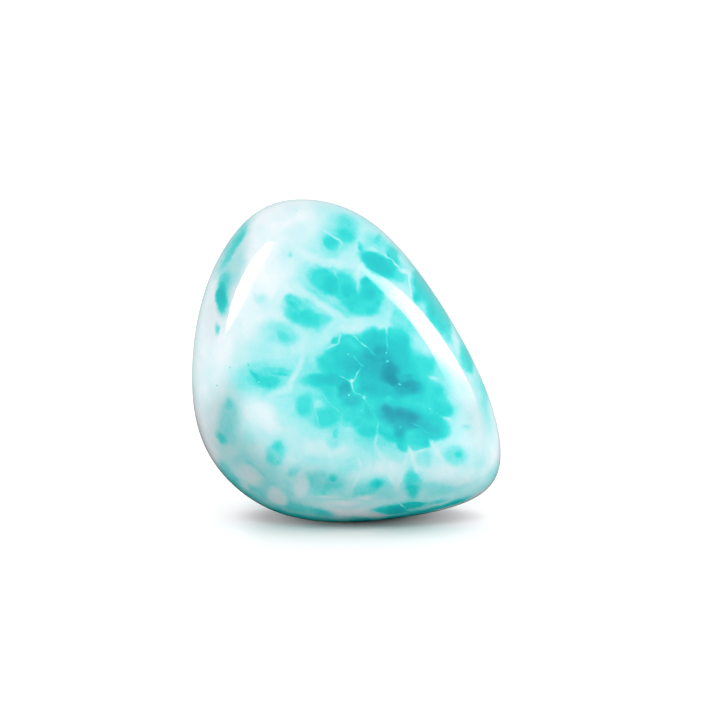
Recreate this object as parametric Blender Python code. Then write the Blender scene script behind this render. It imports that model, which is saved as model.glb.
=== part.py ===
"""A polished tumbled stone of smithsonite: a thick pebble with the outline of a rounded triangle.

It stands on its broad lower edge. Metres, +Z up. The origin is on the surface under it, below the middle of its
box. The viewer is at -Y, and +X is to the viewer's right.
"""

import math

import bmesh
import bpy
from mathutils import Vector

MM = 0.001

# The point inside the stone from which every distance below is measured, in mm
CENTRE_MM = (-0.16, 0.06, 13.79)

# The outline seen from the front. Each side: the way it faces, in degrees from +X towards +Z, and its distance in mm
SIDES = {
    "right_slope": (36, 12.6),
    "right_shoulder": (12, 15.2),
    "lower_right_corner": (-36, 20.0),
    "base_right": (-79, 14.7),
    "base_left": (-102, 15.3),
    "lower_left_corner": (-137, 15.7),
    "left": (180, 15.5),
    "upper_left": (147, 17.9),
    "crown_left": (117, 24.2),
    "crown_right": (78, 18.1),
}
# How sharply one side turns into the next: 2 would be a slow curve, and a large number a corner
SIDE_POWER = 8.0

# The thickness from the middle to the front or the back, in mm, and how square its edge is: 2 would be an ellipse
HALF_THICKNESS_MM = 11.0
EDGE_POWER = 2.6

# Places worn flatter by tumbling. Each: azimuth from the viewer towards +X and elevation in degrees, distance in mm
WORN = {
    "front_brow": (0, 25, 12.6),
    "back_brow": (180, 30, 11.8),
    "back_right": (130, 5, 12.0),
    "back_heel": (195, -35, 13.0),
}
WORN_POWER = 8.0

# The sphere that is shaped into the stone: 5 rounds of splitting give 5120 triangles
SPHERE_ROUNDS = 5

STONE_COLOUR = (0.30, 0.80, 0.78, 1.0)
STONE_ROUGHNESS = 0.12


def clear_scene():
    """Removes what the file already holds."""
    for item in list(bpy.data.objects):
        bpy.data.objects.remove(item, do_unlink=True)


def blend(parts, power):
    """One smooth value from several, close to the largest of them."""
    return sum(part**power for part in parts) ** (1 / power)


def facing(azimuth, elevation):
    """The unit vector for an azimuth from -Y towards +X and an elevation, both in degrees."""
    around = math.radians(azimuth)
    up = math.radians(elevation)
    return Vector((math.sin(around) * math.cos(up), -math.cos(around) * math.cos(up), math.sin(up)))


def reach_mm(direction):
    """How far the stone's surface is from its centre in a direction, in mm."""
    sides = [
        max(0.0, direction.x * math.cos(math.radians(angle)) + direction.z * math.sin(math.radians(angle))) / distance
        for angle, distance in SIDES.values()
    ]
    outline = blend(sides, SIDE_POWER)
    girth = blend([outline, abs(direction.y) / HALF_THICKNESS_MM], EDGE_POWER)
    worn = [
        max(0.0, direction.dot(facing(azimuth, elevation))) / distance
        for azimuth, elevation, distance in WORN.values()
    ]
    return 1 / blend([girth, *worn], WORN_POWER)


def stone_mesh():
    """A ball whose points are moved out to the stone's surface, and cut flat where it stands."""
    shape = bmesh.new()
    bmesh.ops.create_icosphere(shape, subdivisions=SPHERE_ROUNDS, radius=1.0)
    centre = Vector(CENTRE_MM)
    for point in shape.verts:
        direction = point.co.normalized()
        point.co = (centre + direction * reach_mm(direction)) * MM
    everything = shape.verts[:] + shape.edges[:] + shape.faces[:]
    cut = bmesh.ops.bisect_plane(
        shape, geom=everything, plane_co=(0, 0, 0), plane_no=(0, 0, -1), clear_outer=True
    )
    rim = [item for item in cut["geom_cut"] if isinstance(item, bmesh.types.BMEdge)]
    bmesh.ops.contextual_create(shape, geom=rim)
    bmesh.ops.recalc_face_normals(shape, faces=shape.faces)
    mesh = bpy.data.meshes.new("stone")
    shape.to_mesh(mesh)
    shape.free()
    mesh.shade_smooth()
    mesh.set_sharp_from_angle(angle=math.radians(30))
    return mesh


def stone_material():
    """Glossy blue-green stone."""
    material = bpy.data.materials.new("polished_smithsonite")
    material.use_nodes = True
    surface = material.node_tree.nodes["Principled BSDF"]
    surface.inputs["Base Color"].default_value = STONE_COLOUR
    surface.inputs["Roughness"].default_value = STONE_ROUGHNESS
    surface.inputs["Metallic"].default_value = 0.0
    return material


def main():
    """Builds the stone in a collection of its own."""
    clear_scene()
    collection = bpy.data.collections.new("smithsonite_tumbled_stone")
    bpy.context.scene.collection.children.link(collection)
    stone = bpy.data.objects.new("stone", stone_mesh())
    stone.data.materials.append(stone_material())
    collection.objects.link(stone)


main()
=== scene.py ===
"""A polished smithsonite tumbled stone: its colours, its gloss and plain studio light around it."""

import math

import bmesh
import bpy
import numpy as np
from mathutils import Matrix, Vector


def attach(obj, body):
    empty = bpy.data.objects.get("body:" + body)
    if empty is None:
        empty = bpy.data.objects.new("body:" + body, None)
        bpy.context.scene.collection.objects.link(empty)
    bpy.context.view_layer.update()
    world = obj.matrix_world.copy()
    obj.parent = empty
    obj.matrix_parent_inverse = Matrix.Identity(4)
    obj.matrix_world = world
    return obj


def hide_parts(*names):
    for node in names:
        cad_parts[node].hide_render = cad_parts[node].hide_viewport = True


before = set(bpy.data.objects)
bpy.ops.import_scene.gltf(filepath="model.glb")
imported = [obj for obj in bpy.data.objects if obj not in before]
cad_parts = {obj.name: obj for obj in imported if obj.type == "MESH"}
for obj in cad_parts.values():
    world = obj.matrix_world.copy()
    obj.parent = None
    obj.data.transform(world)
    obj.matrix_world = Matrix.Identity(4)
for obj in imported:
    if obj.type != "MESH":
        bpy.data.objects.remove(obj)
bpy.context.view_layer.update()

MM = 0.001

# The stone's form, as in the solid: distances in mm from the centre, angles in degrees
CENTRE_MM = (-0.16, 0.06, 13.79)
SIDES = {
    "right_slope": (36, 12.6),
    "right_shoulder": (12, 15.2),
    "lower_right_corner": (-36, 20.0),
    "base_right": (-79, 14.7),
    "base_left": (-102, 15.3),
    "lower_left_corner": (-137, 15.7),
    "left": (180, 15.5),
    "upper_left": (147, 17.9),
    "crown_left": (117, 24.2),
    "crown_right": (78, 18.1),
}
SIDE_POWER = 8.0
HALF_THICKNESS_MM = 11.0
EDGE_POWER = 2.6
WORN = {
    "front_brow": (0, 25, 12.6),
    "back_brow": (180, 30, 11.8),
    "back_right": (130, 5, 12.0),
    "back_heel": (195, -35, 13.0),
}
WORN_POWER = 8.0
# 7 rounds of splitting give 81920 triangles, about a quarter of a millimetre each
SPHERE_ROUNDS = 7

# The camera: ten pixels of the 720 pixel picture are a millimetre at the middle of the stone
PICTURE_PX = 720
PX_PER_MM = 10.0
ORIGIN_PX = (346.0, 519.4)
CAMERA_ELEVATION = 10.0
LENS_MM = 180.0
SENSOR_MM = 36.0
DISTANCE_MM = PICTURE_PX / PX_PER_MM * LENS_MM / SENSOR_MM

# The light: how bright the dome is level with the stone and overhead, and how much more so on its right side
LEVEL_LIGHT = 1.92
OVERHEAD_LIGHT = 0.97
RIGHT_GAIN = 0.15
# How bright the gloss shows what is in front of the stone and what is behind it, and the share of red in both
FRONT_GLOSS = 0.30
BACK_GLOSS = 0.57
FRONT_GLOSS_RED = 0.9
BACK_GLOSS_RED = 0.66
# How far behind the stone, as a share of the full way round, the gloss gets the light of the back
BACK_START = 0.2
BACK_END = 0.95
# How pale the floor is. In place of the light that it throws back, it gives off a glow, painted weak near the stone
# as its shadow and full further off:
# both strengths, at which distances in m, and from where
FLOOR_SHADE = (1.0, 0.975, 0.975)
# Painted light that the camera sees the floor give off at the left, and over which stretch of X in m it grows
LEFT_LIFT = 0.12
LIFT_REACH = (-0.0075, -0.0115)
NEAR_GLOW = 0.335
FAR_GLOW = 1.12
GLOW_REACH = (0.011, 0.040)
GLOSS_REACH = (0.011, 0.090)
GLOW_MIDDLE = (-0.006, 0.011, 0.0)
# Where the stone stands, and between which distances from there in m the glow rises from none
CONTACT = (0.002, 0.0, 0.0)
CONTACT_REACH = (0.002, 0.010)
# The painted shadow close under the stone, a darkening of the floor's colour: how much of the floor's colour is left
# in it, between which distances in m from its middle it fades, where the middle is, and the share of the way that
# counts along X
DEEP_SHADOW = 0.76
DEEP_REACH = (0.0042, 0.0062)
DEEP_MIDDLE = (0.0006, 0.0, 0.0)
DEEP_STRETCH = (0.45, 1.0, 1.0)

# The two white streaks of gloss, from their upper end down. Each step: the pixel of the streak's outer edge, that of
# its inner edge, and how strong it is at both
RIGHT_STREAK = (
    (360, 266, 359, 268, 0.10, 0.08),
    (376, 271, 371, 279, 0.22, 0.20),
    (392, 284, 385, 294, 0.38, 0.32),
    (408, 298, 397, 307, 0.66, 0.58),
    (423, 314, 409, 321, 0.80, 0.72),
    (436, 329, 420, 333, 0.92, 0.84),
    (450, 349, 430, 349, 1.00, 0.70),
    (461, 369, 439, 367, 0.60, 0.20),
    (471, 389, 448, 386, 0.18, 0.05),
    (478, 405, 454, 402, 0.03, 0.00),
    (483, 421, 459, 416, 0.00, 0.00),
)
LEFT_STREAK = (
    (268, 242, 277, 242, 0.40, 0.0),
    (259, 251, 271, 253, 1.00, 0.0),
    (250, 263, 264, 266, 1.00, 0.0),
    (243, 276, 257, 280, 1.00, 0.0),
    (237, 289, 251, 293, 1.00, 0.0),
    (232, 303, 244, 306, 1.00, 0.0),
    (228, 318, 237, 318, 1.00, 0.0),
    (226, 333, 229, 331, 0.80, 0.0),
)
# How bright the panels are that make the streaks, how far from the stone they stand in mm, and how many steps
# their curves get
STREAK_LIGHT = 12.0
PANEL_DISTANCE_MM = 350.0
PANEL_STEPS = 48

# The colour of the stone by tone, from white through aqua to deep blue-green, as linear red, green and blue
TONES = (
    (0.00, (0.73, 0.79, 0.82)),
    (0.15, (0.555, 0.74, 0.765)),
    (0.33, (0.31, 0.70, 0.715)),
    (0.45, (0.12, 0.65, 0.645)),
    (0.55, (0.03, 0.60, 0.575)),
    (0.62, (0.012, 0.54, 0.53)),
    (0.72, (0.010, 0.455, 0.485)),
    (0.85, (0.006, 0.32, 0.39)),
    (1.00, (0.003, 0.23, 0.31)),
)

# The tone of the stone where nothing is painted
GROUND_TONE = 0.03
# Patches of colour, painted one over the other. Each: the pixel of its middle, its half length and half width in
# pixels, its lean in degrees anticlockwise, its tone, and how soft its edge is from 0 to 1
WASHES = (
    (352, 410, 150, 104, 0, 0.32, 0.6),
    (347, 270, 73, 52, -25, 0.29, 0.6),
    (430, 300, 100, 30, -60, 0.34, 0.6),
    (350, 222, 42, 24, -28, 0.31, 0.6),
    (290, 352, 56, 26, 0, 0.30, 0.6),
    (225, 350, 9, 44, -4, 0.04, 0.6),
    (255, 473, 52, 27, -35, 0.33, 0.6),
    (350, 494, 110, 18, 3, 0.34, 0.6),
    (448, 490, 40, 14, 14, 0.33, 0.6),
    (250, 436, 9, 10, 0, 0.33, 0.8),
    (258, 412, 22, 13, -20, 0.12, 0.6),
    (272, 428, 14, 8, -40, 0.14, 0.7),
    (486, 440, 12, 16, 0, 0.18, 0.8),
    (474, 468, 20, 20, 0, 0.26, 0.8),
    (482, 398, 42, 7, -74, 0.34, 0.8),
    (320, 449, 34, 10, -8, 0.18, 0.8),
    (270, 308, 12, 10, 0, 0.21, 0.9),
    (243, 379, 21, 20, 0, 0.36, 0.9),
    (289, 438, 16, 12, 0, 0.22, 0.9),
    (384, 468, 20, 8, 0, 0.18, 0.8),
    (462, 478, 22, 9, 15, 0.18, 0.8),
    (345, 505, 20, 6, 0, 0.16, 0.7),
)
# The aqua round the patches
HALOS = (
    (386, 390, 74, 62, -10, 0.43, 0.3),
    (446, 414, 12, 32, 0, 0.40, 0.9),
    (326, 391, 18, 8, -20, 0.48, 0.8),
    (319, 393, 38, 40, 0, 0.43, 0.4),
    (342, 292, 48, 29, -18, 0.43, 0.4),
    (305, 314, 31, 16, -28, 0.43, 0.5),
    (279, 332, 24, 13, -15, 0.39, 0.6),
    (268, 379, 33, 18, -3, 0.42, 0.4),
    (229, 423, 26, 14, 86, 0.37, 0.5),
    (276, 453, 16, 12, 75, 0.37, 0.6),
    (294, 470, 9, 6, 45, 0.42, 0.7),
    (258, 493, 13, 9, -50, 0.38, 0.6),
    (229, 472, 18, 6, -62, 0.39, 0.6),
    (323, 483, 25, 16, 5, 0.43, 0.5),
    (289, 493, 17, 4, -82, 0.35, 0.8),
    (372, 486, 21, 12, 25, 0.39, 0.5),
    (413, 486, 20, 11, 90, 0.43, 0.4),
    (434, 489, 20, 9, -12, 0.39, 0.6),
    (302, 509, 38, 9, -13, 0.45, 0.5),
    (404, 507, 36, 10, 5, 0.44, 0.5),
    (456, 455, 15, 12, -20, 0.41, 0.5),
    (424, 459, 10, 9, 0, 0.40, 0.6),
    (336, 438, 13, 9, 60, 0.40, 0.6),
    (339, 234, 25, 19, 60, 0.42, 0.5),
    (378, 247, 20, 12, -25, 0.42, 0.5),
    (388, 264, 30, 14, -40, 0.43, 0.4),
    (420, 290, 20, 10, -78, 0.43, 0.4),
    (441, 318, 30, 13, -62, 0.43, 0.4),
    (464, 357, 20, 8, -62, 0.42, 0.5),
    (441, 301, 50, 9, -58, 0.43, 0.8),
    (484, 392, 15, 4, -80, 0.42, 0.6),
    (401, 323, 24, 14, -50, 0.43, 0.6),
)
UPPER_PATCH = (
    (326, 281, 19, 11, -28, 0.60, 0.4),
    (342, 284, 14, 13, -45, 0.60, 0.4),
    (352, 298, 17, 11, -35, 0.60, 0.4),
    (363, 304, 18, 12.5, -5, 0.59, 0.4),
    (372, 293, 14, 11, -40, 0.60, 0.4),
    (330, 285, 9, 8, -60, 0.69, 0.8),
    (346, 290, 5, 7, 0, 0.68, 0.9),
    (371, 294, 6, 6, 0, 0.69, 0.9),
    (366, 281, 6, 5, 0, 0.69, 0.6),
)
LEFT_PATCHES = (
    (304, 317, 20, 10, -18, 0.54, 0.4),
    (295, 304, 13, 8, -50, 0.52, 0.4),
    (322, 319, 11, 6, 0, 0.52, 0.6),
    (307, 317, 13, 6, -8, 0.61, 0.7),
    (295, 306, 7, 3, -45, 0.60, 0.8),
    (286, 336, 13, 7, -20, 0.44, 0.8),
    (284, 335, 6, 4, -20, 0.52, 0.9),
    (266, 381, 20, 9, -4, 0.52, 0.5),
    (276, 372, 17, 4, -2, 0.51, 0.6),
    (268, 383, 11, 6, 0, 0.60, 0.6),
    (280, 375, 9, 2, -4, 0.58, 0.6),
    (255, 377, 9, 2.4, -48, 0.62, 0.9),
    (320, 411, 26, 18, -35, 0.48, 0.4),
    (319, 405, 6, 4, 0, 0.40, 0.6),
    (305, 405, 12, 9, 80, 0.59, 0.5),
    (325, 418, 12, 10.5, 0, 0.60, 0.45),
    (336, 434, 5, 3, 75, 0.54, 0.7),
)
HEART = (
    (386, 388, 52, 45, 0, 0.61, 0.4),
    (372, 360, 46, 26, 8, 0.59, 0.4),
    (352, 392, 30, 32, 0, 0.58, 0.4),
    (412, 412, 37, 32, -10, 0.59, 0.4),
    (321, 380.5, 20, 8, 0, 0.60, 0.4),
    (340, 380, 16, 8, 0, 0.64, 0.4),
    (332, 361, 15.5, 11, 22, 0.56, 0.4),
    (334, 395, 13, 10.5, -35, 0.58, 0.4),
    (335, 342, 5, 3.2, 55, 0.56, 0.5),
    (350, 348, 15, 11, -30, 0.60, 0.4),
    (372, 343, 17, 13, 80, 0.61, 0.4),
    (396, 342, 16, 14, 90, 0.60, 0.4),
    (386, 333, 9, 6, 0, 0.58, 0.5),
    (422, 366, 14, 12, 0, 0.58, 0.4),
    (434, 396, 15, 12, -30, 0.58, 0.4),
    (440, 411, 13, 11, 0, 0.59, 0.4),
    (436, 429, 17, 11, -25, 0.63, 0.4),
    (417, 439, 18, 13, 5, 0.61, 0.4),
    (404, 445, 9, 8, 90, 0.59, 0.4),
    (388, 430, 19, 10, -42, 0.60, 0.4),
    (364, 422, 20, 12, -50, 0.59, 0.4),
    (347, 408, 14, 11, -40, 0.58, 0.3),
)
BLUES = (
    (368, 362, 44, 25, -10, 0.70, 0.5),
    (376, 342, 13, 10, 0, 0.70, 0.6),
    (398, 352, 12, 13, 0, 0.73, 0.7),
    (333, 380, 19, 6, 0, 0.69, 0.6),
    (386, 388, 36, 10, -5, 0.71, 0.6),
    (351, 365, 13, 9, -15, 0.78, 0.8),
    (379, 367, 24, 15, -15, 0.83, 0.7),
    (381, 351, 8, 7, 0, 0.80, 0.8),
    (408, 386, 16, 8, -8, 0.83, 0.7),
    (345, 390, 10, 8, 60, 0.85, 0.6),
    (351, 401, 11, 8, 0, 0.72, 0.6),
    (390, 374, 11, 9, 0, 0.94, 0.8),
    (393, 380, 8, 6, -30, 1.00, 0.8),
    (404, 384, 6, 3, 0, 0.90, 0.8),
    (370, 412, 5, 10, 0, 0.68, 0.9),
    (408, 420, 34, 16, -22, 0.70, 0.5),
    (401, 418, 23, 11, -12, 0.86, 0.7),
    (387, 410, 7, 4, -62, 0.88, 0.8),
    (407, 416, 13, 5, -10, 0.94, 0.8),
    (399, 431, 12, 6, -68, 0.83, 0.8),
    (426, 426, 14, 6, -25, 0.74, 0.8),
    (414, 400, 22, 5, 4, 0.60, 0.7),
    (388, 399, 6, 3, 0, 0.53, 0.8),
    (414, 434, 9, 5, 15, 0.60, 0.8),
    (356, 384, 5, 9, 0, 0.60, 0.9),
    (350, 343, 13, 6, -20, 0.57, 0.9),
    (396, 403, 8, 4, 0, 0.59, 0.9),
    (369, 402, 9, 4, -60, 0.57, 0.9),
    (329, 391, 9, 5, -30, 0.60, 0.9),
    (405, 376, 9, 4, 0, 0.78, 0.9),
    (412, 449, 13, 4, 0, 0.54, 0.9),
)
TOP_RIGHT = (
    (347, 231, 14, 11, -60, 0.48, 0.7),
    (345, 235, 11, 6, -15, 0.57, 0.7),
    (331, 242, 8.5, 7.5, 0, 0.52, 0.4),
    (331, 242, 6, 6, 0, 0.57, 0.8),
    (361.5, 246, 5, 3, -75, 0.56, 0.8),
    (378, 238.5, 4, 3, 0, 0.50, 0.7),
    (372, 250, 5, 3, 0, 0.32, 0.7),
    (379, 265, 23, 9, -32, 0.60, 0.3),
    (380, 265, 17, 7, -32, 0.66, 0.7),
    (393, 257, 11, 7, -68, 0.60, 0.5),
    (400, 275, 7, 5, -40, 0.52, 0.6),
    (424, 286, 18, 11, -70, 0.64, 0.3),
    (418, 296, 7, 5, -76, 0.66, 0.8),
    (439, 311, 19, 15, -54, 0.63, 0.3),
    (443, 323, 13, 7, -62, 0.60, 0.4),
    (447, 336, 6, 4, -62, 0.50, 0.8),
    (467, 357, 14, 7, -64, 0.59, 0.5),
    (470, 367, 8, 2.6, -64, 0.58, 0.6),
)
LOWER_RIGHT = (
    (457, 453, 8, 7, -30, 0.48, 0.9),
    (458.5, 453.5, 4, 4, 0, 0.60, 0.9),
    (466, 427.5, 6, 3, 0, 0.34, 0.9),
    (438, 492, 14, 8, 8, 0.41, 0.8),
    (440, 501, 14, 4, 10, 0.50, 0.8),
    (466, 488, 16, 7, 25, 0.31, 0.9),
)
BASE = (
    (328, 484, 14, 5, 66, 0.48, 0.8),
    (333.5, 476, 6, 5, 40, 0.54, 0.8),
    (333, 477, 4, 4, 0, 0.62, 0.8),
    (346, 469, 16, 9, 20, 0.40, 0.9),
    (369, 488, 18, 7, 25, 0.48, 0.8),
    (376, 484, 7, 5, 20, 0.62, 0.9),
    (412, 482, 16, 7, -86, 0.50, 0.8),
    (412, 490, 9, 6, -70, 0.61, 0.8),
    (413.5, 504.5, 11, 4.5, 0, 0.64, 0.35),
    (392, 510, 20, 6.5, 4, 0.62, 0.5),
    (396, 508, 11, 6, 20, 0.70, 0.8),
    (310, 513, 21, 7, -8, 0.62, 0.7),
    (410, 514, 27, 7, 8, 0.63, 0.8),
    (300, 511, 26, 8, -14, 0.48, 0.7),
    (348, 505, 26, 5, 0, 0.24, 0.7),
    (275, 455, 14, 10.5, 73, 0.44, 0.4),
    (278, 446, 6, 5, 60, 0.50, 0.9),
    (271, 458, 6, 5, 72, 0.50, 0.9),
    (228, 436, 12, 6, -60, 0.42, 0.8),
    (221, 438, 9, 5, -55, 0.52, 0.7),
    (228, 405, 7, 5, 60, 0.44, 0.9),
    (242, 460, 7, 3, 10, 0.30, 0.9),
)
CELLS = (
    (249, 475, 15, 11, -38, 0.19, 0.5),
    (277, 497, 14, 10, -80, 0.14, 0.4),
    (301, 487, 14, 8, 75, 0.20, 0.5),
    (232, 452, 11, 5, 0, 0.29, 0.8),
    (346, 503, 16, 4, -4, 0.14, 0.6),
    (364, 498, 8, 4, 0, 0.20, 0.7),
)
LEFT_RIM = (
    (236, 238, 36, 8, 57, 0.29, 0.8),
    (233, 270, 32, 13, 68, 0.28, 0.5),
    (232, 248, 34, 4, 58, 0.56, 0.8),
    (224, 284, 16, 8, 80, 0.44, 0.7),
    (223, 304, 14, 7, 86, 0.46, 0.7),
    (221, 298, 15, 6.5, 86, 0.60, 0.5),
    (220, 299, 10, 5, 88, 0.67, 0.8),
    (217, 330, 7, 3, 90, 0.48, 0.8),
    (292, 212, 10, 6, 15, 0.10, 0.9),
    (290, 252, 12, 9, 0, 0.25, 0.9),
    (291, 255, 3, 3, 0, 0.42, 0.9),
    (260, 297, 8, 6, 0, 0.26, 0.9),
)
PATCHES = (
    WASHES, HALOS, UPPER_PATCH, LEFT_PATCHES, HEART, BLUES, TOP_RIGHT, LOWER_RIGHT, BASE, CELLS, LEFT_RIM
)

# Pale lines between the patches. Each: its half width in pixels, its tone, how soft its edge is, and its pixels
WEBS = (
    (4.0, 0.19, 1.0, (296, 247), (309, 257), (322, 261), (346, 263)),
    (3.0, 0.26, 1.0, (346, 264), (360, 266), (357, 276)),
    (1.8, 0.36, 1.0, (357, 276), (358, 291)),
    (1.4, 0.42, 1.0, (333, 266), (336, 275)),
    (3.6, 0.24, 1.0, (288, 283), (308, 295), (322, 304), (335, 313), (346, 323)),
    (4.0, 0.30, 1.0, (346, 323), (370, 322), (386, 319), (392, 308)),
    (4.0, 0.28, 1.0, (342, 323), (328, 331), (312, 342), (290, 350)),
    (4.5, 0.16, 1.0, (283, 288), (277, 300), (270, 314)),
    (3.6, 0.26, 1.0, (304, 352), (298, 370), (290, 388), (270, 397)),
    (0.9, 0.50, 0.8, (314, 389), (319, 391), (332, 406), (341, 414)),
    (1.2, 0.46, 0.8, (313, 397), (315, 410), (318, 424)),
    (1.6, 0.30, 1.0, (377, 434), (376, 450), (372, 470)),
    (2.0, 0.39, 1.0, (247, 461), (257, 468), (266, 478)),
    (3.4, 0.24, 1.0, (377, 448), (386, 467), (398, 492)),
    (2.0, 0.20, 1.0, (409, 450), (413, 460), (419, 476)),
    (2.4, 0.20, 1.0, (408, 454), (401, 474), (397, 490)),
    (1.2, 0.34, 1.0, (397, 490), (399, 502), (405, 509), (416, 511), (426, 508)),
    (2.6, 0.20, 1.0, (431, 442), (437, 452), (445, 464), (451, 480)),
    (1.4, 0.26, 1.0, (428, 449), (415, 454)),
    (1.6, 0.24, 1.0, (358, 456), (362, 470), (353, 490)),
    (1.2, 0.24, 0.8, (409, 271), (411, 285), (412, 301)),
    (0.9, 0.30, 0.9, (370, 246), (381, 251), (391, 259), (400, 269)),
    (2.0, 0.22, 1.0, (400, 269), (410, 272)),
    (1.1, 0.30, 0.9, (323, 231), (330, 235), (343, 243)),
    (1.8, 0.30, 1.0, (386, 320), (386, 332)),
    (1.2, 0.36, 1.0, (341, 334), (338, 344), (326, 348)),
    (4.5, 0.36, 1.0, (416, 336), (427, 350)),
    (3.0, 0.20, 0.9, (453, 330), (457, 350)),
    (2.0, 0.36, 0.8, (430, 377), (438, 379)),
    (1.6, 0.32, 1.0, (444, 418), (454, 423)),
    (2.0, 0.24, 1.0, (312, 498), (340, 497), (372, 501)),
)
# Thin cracks in the heart
CRACKS = (
    (0.9, 0.42, 0.9, (352, 335.5), (360, 341.5), (369, 349)),
    (0.8, 0.58, 0.9, (369, 349), (375, 356)),
    (0.7, 0.57, 0.9, (352, 356), (358, 362), (362, 367)),
    (0.8, 0.46, 0.9, (340, 376), (346, 379), (351, 381.5)),
    (1.1, 0.42, 0.9, (351, 381.5), (355, 378), (359, 369)),
    (1.3, 0.38, 0.9, (351, 381.5), (354, 390)),
    (0.9, 0.46, 0.9, (354, 390), (364, 397.5), (368, 403)),
    (0.7, 0.56, 0.9, (368, 403), (372, 411), (377, 422)),
    (0.8, 0.48, 0.9, (377, 422), (377.5, 434)),
    (0.8, 0.54, 0.9, (386, 332), (386.3, 353)),
    (0.7, 0.60, 0.9, (412, 423), (422, 427.5), (430, 435)),
)
# The deep colour along the edge that the stone stands on: partly its own teal, and along the contact painted shade
# and a painted reflection of the dark floor close under it
BASE_EDGE_TEAL_AND_SHADE = (
    (8.0, 0.44, 0.7, (222, 468), (240, 490), (262, 504), (290, 514), (330, 519)),
    (3.2, 0.40, 1.0, (330, 518), (380, 518), (420, 512), (446, 504)),
    (9.0, 0.34, 0.8, (446, 504), (466, 497), (485, 485), (496, 469)),
    (4.6, 0.66, 1.0, (266, 508), (290, 515), (316, 520), (346, 521.5)),
    (4.8, 0.74, 1.0, (346, 521.5), (380, 520), (410, 515.5), (440, 508), (466, 499)),
)
# Tiny specks, pale in the heart and dark in the white. Each: its pixel, its half width in pixels and its tone
SPECKS = (
    (352, 381, 2.6, 0.32),
    (365, 398, 2.2, 0.34),
    (348.6, 354, 0.9, 0.35),
    (386, 354, 0.9, 0.35),
    (387, 362, 1.4, 0.44),
    (399.6, 383.6, 1.1, 0.45),
    (348.6, 395.4, 1.0, 0.30),
    (360.6, 412.7, 0.9, 0.40),
    (431, 409, 1.1, 0.48),
    (438, 414.8, 0.9, 0.48),
    (443.5, 391.3, 0.8, 0.40),
    (399.7, 428, 1.1, 0.62),
    (259, 381.8, 0.8, 0.35),
    (247, 364.2, 1.1, 0.62),
    (230, 368.8, 1.0, 0.50),
    (217, 386, 1.0, 0.60),
    (296, 210.5, 1.0, 0.30),
)
# Painted shade: where the stone's colour is darkened to stand in for shade, low down, at the left rim and on the
# lower right, in the same terms as the patches, with a share of the light taken in place of a tone
PAINTED_SHADES = (
    (247, 460, 66, 26, -40, 0.25, 0.8),
    (226, 417, 36, 20, 84, 0.27, 0.8),
    (229, 282, 56, 15, 72, 0.17, 0.8),
    (233, 245, 38, 7, 58, 0.14, 0.8),
    (316, 480, 42, 15, -10, 0.19, 0.8),
    (478, 424, 44, 16, -80, 0.09, 0.8),
    (400, 492, 92, 13, 4, 0.12, 0.8),
    (412, 508, 36, 8, 6, 0.10, 0.8),
)
# How far a patch reaches into the stone, at least, and as a share of its half length
PATCH_DEPTH_MM = 4.2
PATCH_DEPTH_SHARE = 0.8
# The furthest that a patch's soft edge can reach, in half lengths
FADE_END = 1.5
# Between which depths from the middle the front's colours give way to the far side's, in mm. Left of the photo's
# edge, the depth counts as larger by a share of the way past it
FAR_SIDE_MM = (1.0, 4.0)
LEFT_CUT_MM = -13.0
LEFT_ADVANCE = 1.2


def turned(angle):
    """Cosine and sine of an angle in degrees."""
    return math.cos(math.radians(angle)), math.sin(math.radians(angle))


def facing(azimuth, elevation):
    """The unit vector for an azimuth from -Y towards +X and an elevation, both in degrees."""
    cos_around, sin_around = turned(azimuth)
    cos_up, sin_up = turned(elevation)
    return np.array((sin_around * cos_up, -cos_around * cos_up, sin_up))


def blend(parts, power):
    """One smooth value from several, close to the largest of them."""
    return sum(part**power for part in parts) ** (1 / power)


def stone_gauge(offsets):
    """1 on the stone's surface, less inside and more outside, for offsets from its centre in mm, before it is cut."""
    x, y, z = offsets.T
    sides = []
    for angle, distance in SIDES.values():
        cos_angle, sin_angle = turned(angle)
        sides.append(np.maximum(0, x * cos_angle + z * sin_angle) / distance)
    girth = blend([blend(sides, SIDE_POWER), np.abs(y) / HALF_THICKNESS_MM], EDGE_POWER)
    worn = [
        np.maximum(0, offsets @ facing(azimuth, elevation)) / distance
        for azimuth, elevation, distance in WORN.values()
    ]
    return blend([girth, *worn], WORN_POWER)


def stone_normals(offsets):
    """The directions in which the surface faces, for offsets from the centre in mm."""
    step = 0.02
    slopes = [stone_gauge(offsets + axis) - stone_gauge(offsets - axis) for axis in np.eye(3) * step]
    normals = np.stack(slopes, axis=1)
    return normals / np.linalg.norm(normals, axis=1)[:, None]


def make_camera():
    """Puts the camera where the photograph was taken from, and returns its place and its right, up and back in mm."""
    half = PICTURE_PX / 2
    aim = Vector(((half - ORIGIN_PX[0]) / PX_PER_MM, 0, (ORIGIN_PX[1] - half) / PX_PER_MM))
    cos_up, sin_up = turned(CAMERA_ELEVATION)
    back = Vector((0, -cos_up, sin_up))
    eye = aim + back * DISTANCE_MM
    data = bpy.data.cameras.new("camera")
    data.lens = LENS_MM
    data.sensor_width = SENSOR_MM
    camera = bpy.data.objects.new("camera", data)
    camera.location = eye * MM
    camera.rotation_euler = (-back).to_track_quat("-Z", "Y").to_euler()
    bpy.context.scene.collection.objects.link(camera)
    bpy.context.scene.camera = camera
    return np.array(aim), np.array(eye), np.array((1.0, 0, 0)), np.array((0, sin_up, cos_up))


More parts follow.
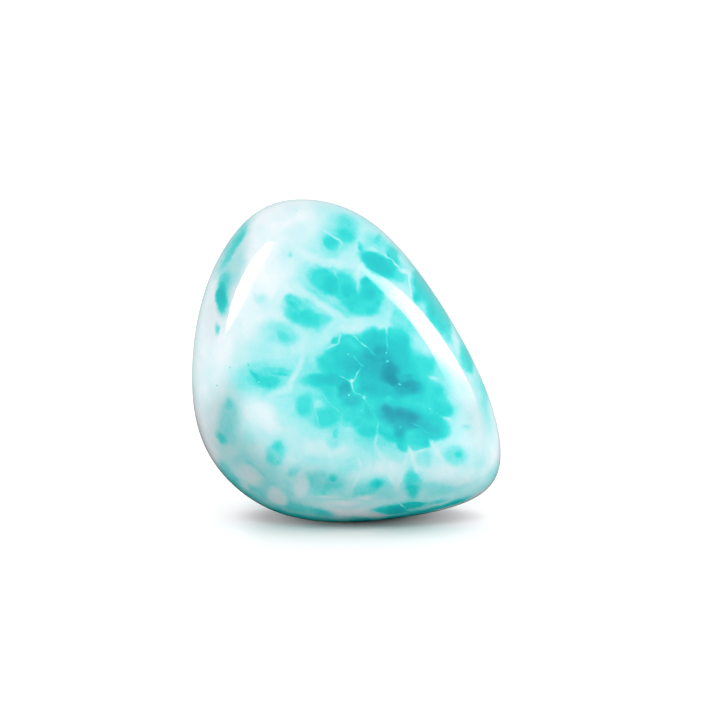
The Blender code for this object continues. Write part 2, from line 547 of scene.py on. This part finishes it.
def surface_points(pixels, aim, eye, right, up):
    """The points of the stone's surface, in mm, that are seen at some pixels of the photograph."""
    half = PICTURE_PX / 2
    pixels = np.asarray(pixels, float)
    targets = aim + np.outer(pixels[:, 0] - half, right) / PX_PER_MM - np.outer(pixels[:, 1] - half, up) / PX_PER_MM
    rays = targets - eye
    rays /= np.linalg.norm(rays, axis=1)[:, None]
    centre = np.array(CENTRE_MM)
    steps = np.linspace(DISTANCE_MM - 16, DISTANCE_MM + 8, 481)
    gauges = np.array([stone_gauge(eye + rays * step - centre) for step in steps])
    # The first step inside the stone, or for a ray that just misses it the step that comes nearest
    inside = gauges < 1
    first = np.where(inside.any(axis=0), inside.argmax(axis=0), gauges.argmin(axis=0))
    return eye + rays * steps[first][:, None]


def stone_mesh():
    """A fine ball whose points are moved out to the stone's surface, flat where the stone stands."""
    ball = bmesh.new()
    bmesh.ops.create_icosphere(ball, subdivisions=SPHERE_ROUNDS, radius=1.0)
    mesh = bpy.data.meshes.new("polished_stone")
    ball.to_mesh(mesh)
    ball.free()
    directions = np.zeros(len(mesh.vertices) * 3)
    mesh.vertices.foreach_get("co", directions)
    directions = directions.reshape(-1, 3)
    directions /= np.linalg.norm(directions, axis=1)[:, None]
    reach = 1 / stone_gauge(directions)
    to_ground = np.where(directions[:, 2] < 0, CENTRE_MM[2] / np.maximum(1e-6, -directions[:, 2]), np.inf)
    points = np.array(CENTRE_MM) + directions * np.minimum(reach, to_ground)[:, None]
    mesh.vertices.foreach_set("co", (points * MM).ravel())
    mesh.shade_smooth()
    mesh.update()
    return mesh


class Nodes:
    """A material's node tree, with short ways to add to it."""

    def __init__(self, tree):
        self.tree = tree

    def add(self, kind, inputs, **settings):
        """Adds a node, sets it and its inputs, and links those inputs that are sockets."""
        node = self.tree.nodes.new(kind)
        for name, value in settings.items():
            setattr(node, name, value)
        for key, value in inputs.items():
            if isinstance(value, bpy.types.NodeSocket):
                self.tree.links.new(value, node.inputs[key])
            else:
                node.inputs[key].default_value = value
        return node

    def math(self, operation, first, second=0.0):
        """The result of a sum on one or two values."""
        return self.add("ShaderNodeMath", {0: first, 1: second}, operation=operation).outputs[0]

    def vector(self, operation, first, second):
        """The result of a sum on two vectors."""
        return self.add("ShaderNodeVectorMath", {0: first, 1: second}, operation=operation).outputs[0]

    def scaled(self, vector, factor):
        """A vector times a number."""
        node = self.add("ShaderNodeVectorMath", {0: vector, "Scale": factor}, operation="SCALE")
        return node.outputs[0]

    def ramp(self, value, low, high, at_low, at_high):
        """A smooth step from one number to another as value goes from low to high."""
        settings = {"Value": value, "From Min": low, "From Max": high, "To Min": at_low, "To Max": at_high}
        return self.add("ShaderNodeMapRange", settings, interpolation_type="SMOOTHSTEP", clamp=False).outputs[0]

    def mix(self, factor, first, second):
        """Between two values by a factor."""
        return self.add("ShaderNodeMix", {0: factor, 2: first, 3: second}, data_type="FLOAT").outputs[0]

    def noise(self, place, scale, detail, roughness=0.5):
        """A noise texture node."""
        settings = {"Vector": place, "Scale": scale, "Detail": detail, "Roughness": roughness}
        return self.add("ShaderNodeTexNoise", settings)


def stroke(half_width, tone, softness, *points):
    """The rows of the patches that make a line through some pixels."""
    rows = []
    for (u, v), (next_u, next_v) in zip(points, points[1:]):
        half_length = math.hypot(next_u - u, next_v - v) / 2 + half_width
        lean = math.degrees(math.atan2(v - next_v, next_u - u))
        rows.append(((u + next_u) / 2, (v + next_v) / 2, half_length, half_width, lean, tone, softness))
    return rows


def all_rows():
    """Every patch of colour in the order in which they are painted."""
    rows = [row for group in PATCHES for row in group]
    # The lines include the painted shade and painted reflection along the stone's foot
    for line in WEBS + CRACKS + BASE_EDGE_TEAL_AND_SHADE:
        rows += stroke(*line)
    rows += [(u, v, half_width, half_width, 0, tone, 0.9) for u, v, half_width, tone in SPECKS]
    return rows


def patch(nodes, tone, place, middle, row):
    """Paints one soft-edged ellipsoid of colour over what is there, and returns the new tone."""
    _, _, half_length, half_width, lean, patch_tone, softness = row
    half_depth = max(PATCH_DEPTH_MM, PATCH_DEPTH_SHARE * half_length / PX_PER_MM)
    settings = {
        "Vector": place,
        "Location": middle,
        "Rotation": (0, -math.radians(lean), 0),
        "Scale": Vector((half_length / PX_PER_MM, half_depth, half_width / PX_PER_MM)) * FADE_END,
    }
    local = nodes.add("ShaderNodeMapping", settings, vector_type="TEXTURE").outputs[0]
    # 1 at the middle and 0 at the furthest that a soft edge reaches
    nearness = nodes.add("ShaderNodeTexGradient", {0: local}, gradient_type="SPHERICAL").outputs["Fac"]
    nothing = 1 - (1 + softness / 2) / FADE_END
    full = 1 - (1 - softness) / FADE_END
    cover = nodes.ramp(nearness, nothing, full, 0.0, 1.0)
    return nodes.mix(cover, tone, patch_tone)


def veins(nodes, place):
    """1 on thin wandering lines and 0 away from them."""
    folds = nodes.noise(place, 0.30, 3.0, 0.55).outputs["Fac"]
    off_line = nodes.math("ABSOLUTE", nodes.math("SUBTRACT", folds, 0.5))
    return nodes.ramp(off_line, 0.0, 0.035, 1.0, 0.0)


def wander(nodes, place):
    """A place shifted by noise, for the shapes of the far side."""
    broad = nodes.vector("SUBTRACT", nodes.noise(place, 0.12, 2.0).outputs["Color"], (0.5, 0.5, 0.5))
    fine = nodes.vector("SUBTRACT", nodes.noise(place, 0.55, 3.0).outputs["Color"], (0.5, 0.5, 0.5))
    shifted = nodes.vector("ADD", place, nodes.scaled(broad, 9.0))
    return nodes.vector("ADD", shifted, nodes.scaled(fine, 2.6))


def far_share(nodes, shifted):
    """0 on the front and 1 on the far side. It starts further forward at the left, where the photo is cut off."""
    parts = nodes.add("ShaderNodeSeparateXYZ", {0: shifted})
    past_cut = nodes.math("MAXIMUM", nodes.math("SUBTRACT", LEFT_CUT_MM, parts.outputs["X"]), 0.0)
    depth = nodes.math("ADD", parts.outputs["Y"], nodes.math("MULTIPLY", past_cut, LEFT_ADVANCE))
    return nodes.ramp(depth, *FAR_SIDE_MM, 0.0, 1.0)


def far_side_tone(nodes, shifted):
    """The tone of the sides and the back: blue-green cells of many sizes with pale seams between them."""
    cells = {"Vector": shifted, "Scale": 0.14}
    seams = nodes.add("ShaderNodeTexVoronoi", cells, feature="DISTANCE_TO_EDGE").outputs["Distance"]
    middles = nodes.add("ShaderNodeTexVoronoi", cells, feature="F1")
    kind = nodes.add("ShaderNodeSeparateColor", {0: middles.outputs["Color"]}).outputs[0]
    deep = nodes.ramp(kind, 0.2, 0.9, 0.30, 0.78)
    halo = nodes.ramp(seams, 0.01, 0.10, 0.16, 0.42)
    inner = nodes.ramp(seams, 0.07, 0.16, 0.0, 1.0)
    return nodes.mix(inner, halo, deep)


def stone_material(middles, painted_shade_middles):
    """Glossy stone with its colour worked out in the solid, so that it carries on round every side."""
    material = bpy.data.materials.new("polished_smithsonite")
    material.use_nodes = True
    nodes = Nodes(material.node_tree)
    coordinates = nodes.add("ShaderNodeTexCoord", {}).outputs["Object"]
    place = nodes.scaled(coordinates, 1 / MM)

    # Two sizes of waver, so that no edge is a plain curve
    broad = nodes.vector("SUBTRACT", nodes.noise(place, 0.35, 2.0).outputs["Color"], (0.5, 0.5, 0.5))
    fine = nodes.vector("SUBTRACT", nodes.noise(place, 1.6, 3.0).outputs["Color"], (0.5, 0.5, 0.5))
    wavering = nodes.vector("ADD", place, nodes.scaled(broad, 0.7))
    wavering = nodes.vector("ADD", wavering, nodes.scaled(fine, 0.38))

    tone = GROUND_TONE
    for row, middle in zip(all_rows(), middles):
        tone = patch(nodes, tone, wavering, middle, row)
    shifted = wander(nodes, place)
    tone = nodes.mix(far_share(nodes, shifted), tone, far_side_tone(nodes, shifted))

    # Clouds, pale veins and grain through all of it
    cloud = nodes.noise(place, 0.42, 3.0, 0.5).outputs["Fac"]
    tone = nodes.math("ADD", tone, nodes.ramp(cloud, 0.3, 0.7, -0.045, 0.045))
    tone = nodes.math("SUBTRACT", tone, nodes.math("MULTIPLY", veins(nodes, wavering), 0.02))
    grain = nodes.noise(place, 3.0, 3.0, 0.6).outputs["Fac"]
    tone = nodes.math("ADD", tone, nodes.ramp(grain, 0.3, 0.7, -0.01, 0.01))
    colours = nodes.add("ShaderNodeValToRGB", {"Fac": tone})
    elements = colours.color_ramp.elements
    elements[0].position, elements[0].color = TONES[0][0], (*TONES[0][1], 1)
    elements[1].position, elements[1].color = TONES[-1][0], (*TONES[-1][1], 1)
    for position, colour in TONES[1:-1]:
        elements.new(position).color = (*colour, 1)

    # Painted shade: the colour is darkened where the stone should lie in shade, low down and at the left rim
    shade = 0.0
    for row, middle in zip(PAINTED_SHADES, painted_shade_middles):
        shade = patch(nodes, shade, wavering, middle, row)
    shaded = nodes.scaled(colours.outputs["Color"], nodes.math("SUBTRACT", 1.0, shade))

    surface = material.node_tree.nodes["Principled BSDF"]
    surface.inputs["IOR"].default_value = 1.6
    surface.inputs["Roughness"].default_value = 0.04
    surface.inputs["Coat Weight"].default_value = 0.3
    surface.inputs["Coat Roughness"].default_value = 0.02
    material.node_tree.links.new(shaded, surface.inputs["Base Color"])
    return material


def make_stone(view):
    """The polished stone, in place of the plain solid."""
    middles, painted_shade_middles = (surface_points([row[:2] for row in rows], *view) for rows in (all_rows(), PAINTED_SHADES))
    stone = bpy.data.objects.new("polished_stone", stone_mesh())
    bpy.context.scene.collection.objects.link(stone)
    stone.data.materials.append(stone_material(middles, painted_shade_middles))
    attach(stone, "root")
    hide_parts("stone")


def make_floor():
    """A pale floor, with a painted shadow under the stone and a glow that lights the stone."""
    bpy.ops.mesh.primitive_plane_add(size=8.0, location=(0, 0, -0.02 * MM))
    floor = bpy.context.object
    floor.name = "floor"
    material = bpy.data.materials.new("pale_floor")
    material.use_nodes = True
    nodes = Nodes(material.node_tree)
    surface = material.node_tree.nodes["Principled BSDF"]
    # Only the camera sees it lit and shaded. The stone gets a glow from it, painted weaker where the stone's shadow
    # would fall
    path = nodes.add("ShaderNodeLightPath", {})
    colour = nodes.add("ShaderNodeCombineXYZ", dict(enumerate(FLOOR_SHADE))).outputs[0]
    colour = nodes.scaled(colour, path.outputs["Is Camera Ray"])
    place = nodes.add("ShaderNodeTexCoord", {}).outputs["Object"]
    # A painted shadow: the floor's colour is darker in an oval close under the stone
    stretched = nodes.vector("MULTIPLY", place, DEEP_STRETCH)
    under = nodes.add("ShaderNodeVectorMath", {0: stretched, 1: DEEP_MIDDLE}, operation="DISTANCE").outputs["Value"]
    colour = nodes.scaled(colour, nodes.ramp(under, *DEEP_REACH, DEEP_SHADOW, 1.0))
    material.node_tree.links.new(colour, surface.inputs["Base Color"])
    # Painted light: the camera sees the floor glow at the left, paling the shadow there
    along = nodes.add("ShaderNodeSeparateXYZ", {0: place}).outputs["X"]
    lift = nodes.ramp(along, *LIFT_REACH, 0.0, LEFT_LIFT)
    # The glow and what the gloss shows of the floor are painted: none where the stone stands, weak near it as its
    # shadow, full further off
    away = nodes.add("ShaderNodeVectorMath", {0: place, 1: GLOW_MIDDLE}, operation="DISTANCE").outputs["Value"]
    from_contact = nodes.add("ShaderNodeVectorMath", {0: place, 1: CONTACT}, operation="DISTANCE").outputs["Value"]
    rise = nodes.ramp(from_contact, *CONTACT_REACH, 0.0, 1.0)
    glow = nodes.math("MULTIPLY", nodes.ramp(away, *GLOW_REACH, NEAR_GLOW, FAR_GLOW), rise)
    in_gloss = nodes.math("MULTIPLY", nodes.ramp(away, *GLOSS_REACH, 0.0, BACK_GLOSS), rise)
    glow = nodes.mix(path.outputs["Is Glossy Ray"], glow, in_gloss)
    glow = nodes.mix(path.outputs["Is Camera Ray"], glow, lift)
    red = nodes.mix(path.outputs["Is Glossy Ray"], 1.0, BACK_GLOSS_RED)
    tint = nodes.add("ShaderNodeCombineXYZ", {0: red, 1: 1.0, 2: 1.0}).outputs[0]
    material.node_tree.links.new(tint, surface.inputs["Emission Color"])
    material.node_tree.links.new(glow, surface.inputs["Emission Strength"])
    surface.inputs["Roughness"].default_value = 1.0
    surface.inputs["Specular IOR Level"].default_value = 0.0
    floor.data.materials.append(material)


def panel_points(pixels, side, view):
    """Where a panel must stand, upright at one side of the stone, for its gloss to show at some pixels."""
    eye = view[1]
    points = surface_points(pixels, *view)
    normals = stone_normals(points - np.array(CENTRE_MM))
    rays = points - eye
    rays /= np.linalg.norm(rays, axis=1)[:, None]
    bounced = rays - 2 * np.sum(rays * normals, axis=1)[:, None] * normals
    to_panel = (CENTRE_MM[0] + side * PANEL_DISTANCE_MM - points[:, 0]) / bounced[:, 0]
    return points + bounced * to_panel[:, None]


def smooth_steps(values):
    """A smooth curve through the numbers of a streak's steps, in PANEL_STEPS steps."""
    given = np.linspace(0, 1, len(values))
    wanted = np.linspace(0, 1, PANEL_STEPS)
    return np.polyval(np.polyfit(given, values, 4), wanted)


def gloss_panel(name, side, streak, view):
    """A light panel that shows only in the gloss, shaped so that the streak is where the photograph has it."""
    outer_u, outer_v, inner_u, inner_v = (smooth_steps(column) for column in list(zip(*streak))[:4])
    given = np.linspace(0, 1, len(streak))
    wanted = np.linspace(0, 1, PANEL_STEPS)
    outer_light, inner_light = (np.interp(wanted, given, column) for column in list(zip(*streak))[4:])
    outer = panel_points(np.stack((outer_u, outer_v), axis=1), side, view)
    inner = panel_points(np.stack((inner_u, inner_v), axis=1), side, view)
    mesh = bpy.data.meshes.new(name)
    faces = [(i, i + 1, PANEL_STEPS + i + 1, PANEL_STEPS + i) for i in range(PANEL_STEPS - 1)]
    mesh.from_pydata((np.concatenate((outer, inner)) * MM).tolist(), [], faces)
    strengths = mesh.attributes.new("strength", "FLOAT", "POINT")
    strengths.data.foreach_set("value", np.concatenate((outer_light, inner_light)))

    material = bpy.data.materials.new(name)
    material.use_nodes = True
    nodes = Nodes(material.node_tree)
    strength = nodes.add("ShaderNodeAttribute", {}, attribute_name="strength").outputs["Fac"]
    surface = material.node_tree.nodes["Principled BSDF"]
    surface.inputs["Base Color"].default_value = (0, 0, 0, 1)
    surface.inputs["Specular IOR Level"].default_value = 0.0
    surface.inputs["Emission Color"].default_value = (1, 1, 1, 1)
    power = nodes.math("MULTIPLY", strength, STREAK_LIGHT)
    material.node_tree.links.new(power, surface.inputs["Emission Strength"])
    mesh.materials.append(material)

    panel = bpy.data.objects.new(name, mesh)
    panel.visible_camera = False
    panel.visible_diffuse = False
    panel.visible_shadow = False
    bpy.context.scene.collection.objects.link(panel)


def make_light(view):
    """Soft light from all round, and a panel on each side for the gloss."""
    world = bpy.data.worlds.new("studio")
    bpy.context.scene.world = world
    world.use_nodes = True
    nodes = Nodes(world.node_tree)
    direction = nodes.add("ShaderNodeTexCoord", {}).outputs["Generated"]
    parts = nodes.add("ShaderNodeSeparateXYZ", {0: direction})
    by_height = nodes.ramp(parts.outputs["Z"], 0.0, 1.0, LEVEL_LIGHT, OVERHEAD_LIGHT)
    by_side = nodes.math("ADD", nodes.math("MULTIPLY", parts.outputs["X"], RIGHT_GAIN), 1.0)
    soft = nodes.math("MULTIPLY", by_height, by_side)
    glossy = nodes.add("ShaderNodeLightPath", {}).outputs["Is Glossy Ray"]
    back = parts.outputs["Y"]
    strength = nodes.mix(glossy, soft, nodes.ramp(back, BACK_START, BACK_END, FRONT_GLOSS, BACK_GLOSS))
    red = nodes.mix(glossy, 1.0, nodes.ramp(back, BACK_START, BACK_END, FRONT_GLOSS_RED, BACK_GLOSS_RED))
    colour = nodes.add("ShaderNodeCombineXYZ", {0: red, 1: 1.0, 2: 1.0}).outputs[0]
    background = world.node_tree.nodes["Background"]
    world.node_tree.links.new(colour, background.inputs["Color"])
    world.node_tree.links.new(strength, background.inputs["Strength"])
    gloss_panel("right_panel", 1, RIGHT_STREAK, view)
    gloss_panel("left_panel", -1, LEFT_STREAK, view)


def main():
    """Builds the picture."""
    bpy.context.scene.view_settings.view_transform = "Standard"
    view = make_camera()
    make_stone(view)
    make_floor()
    make_light(view)


main()
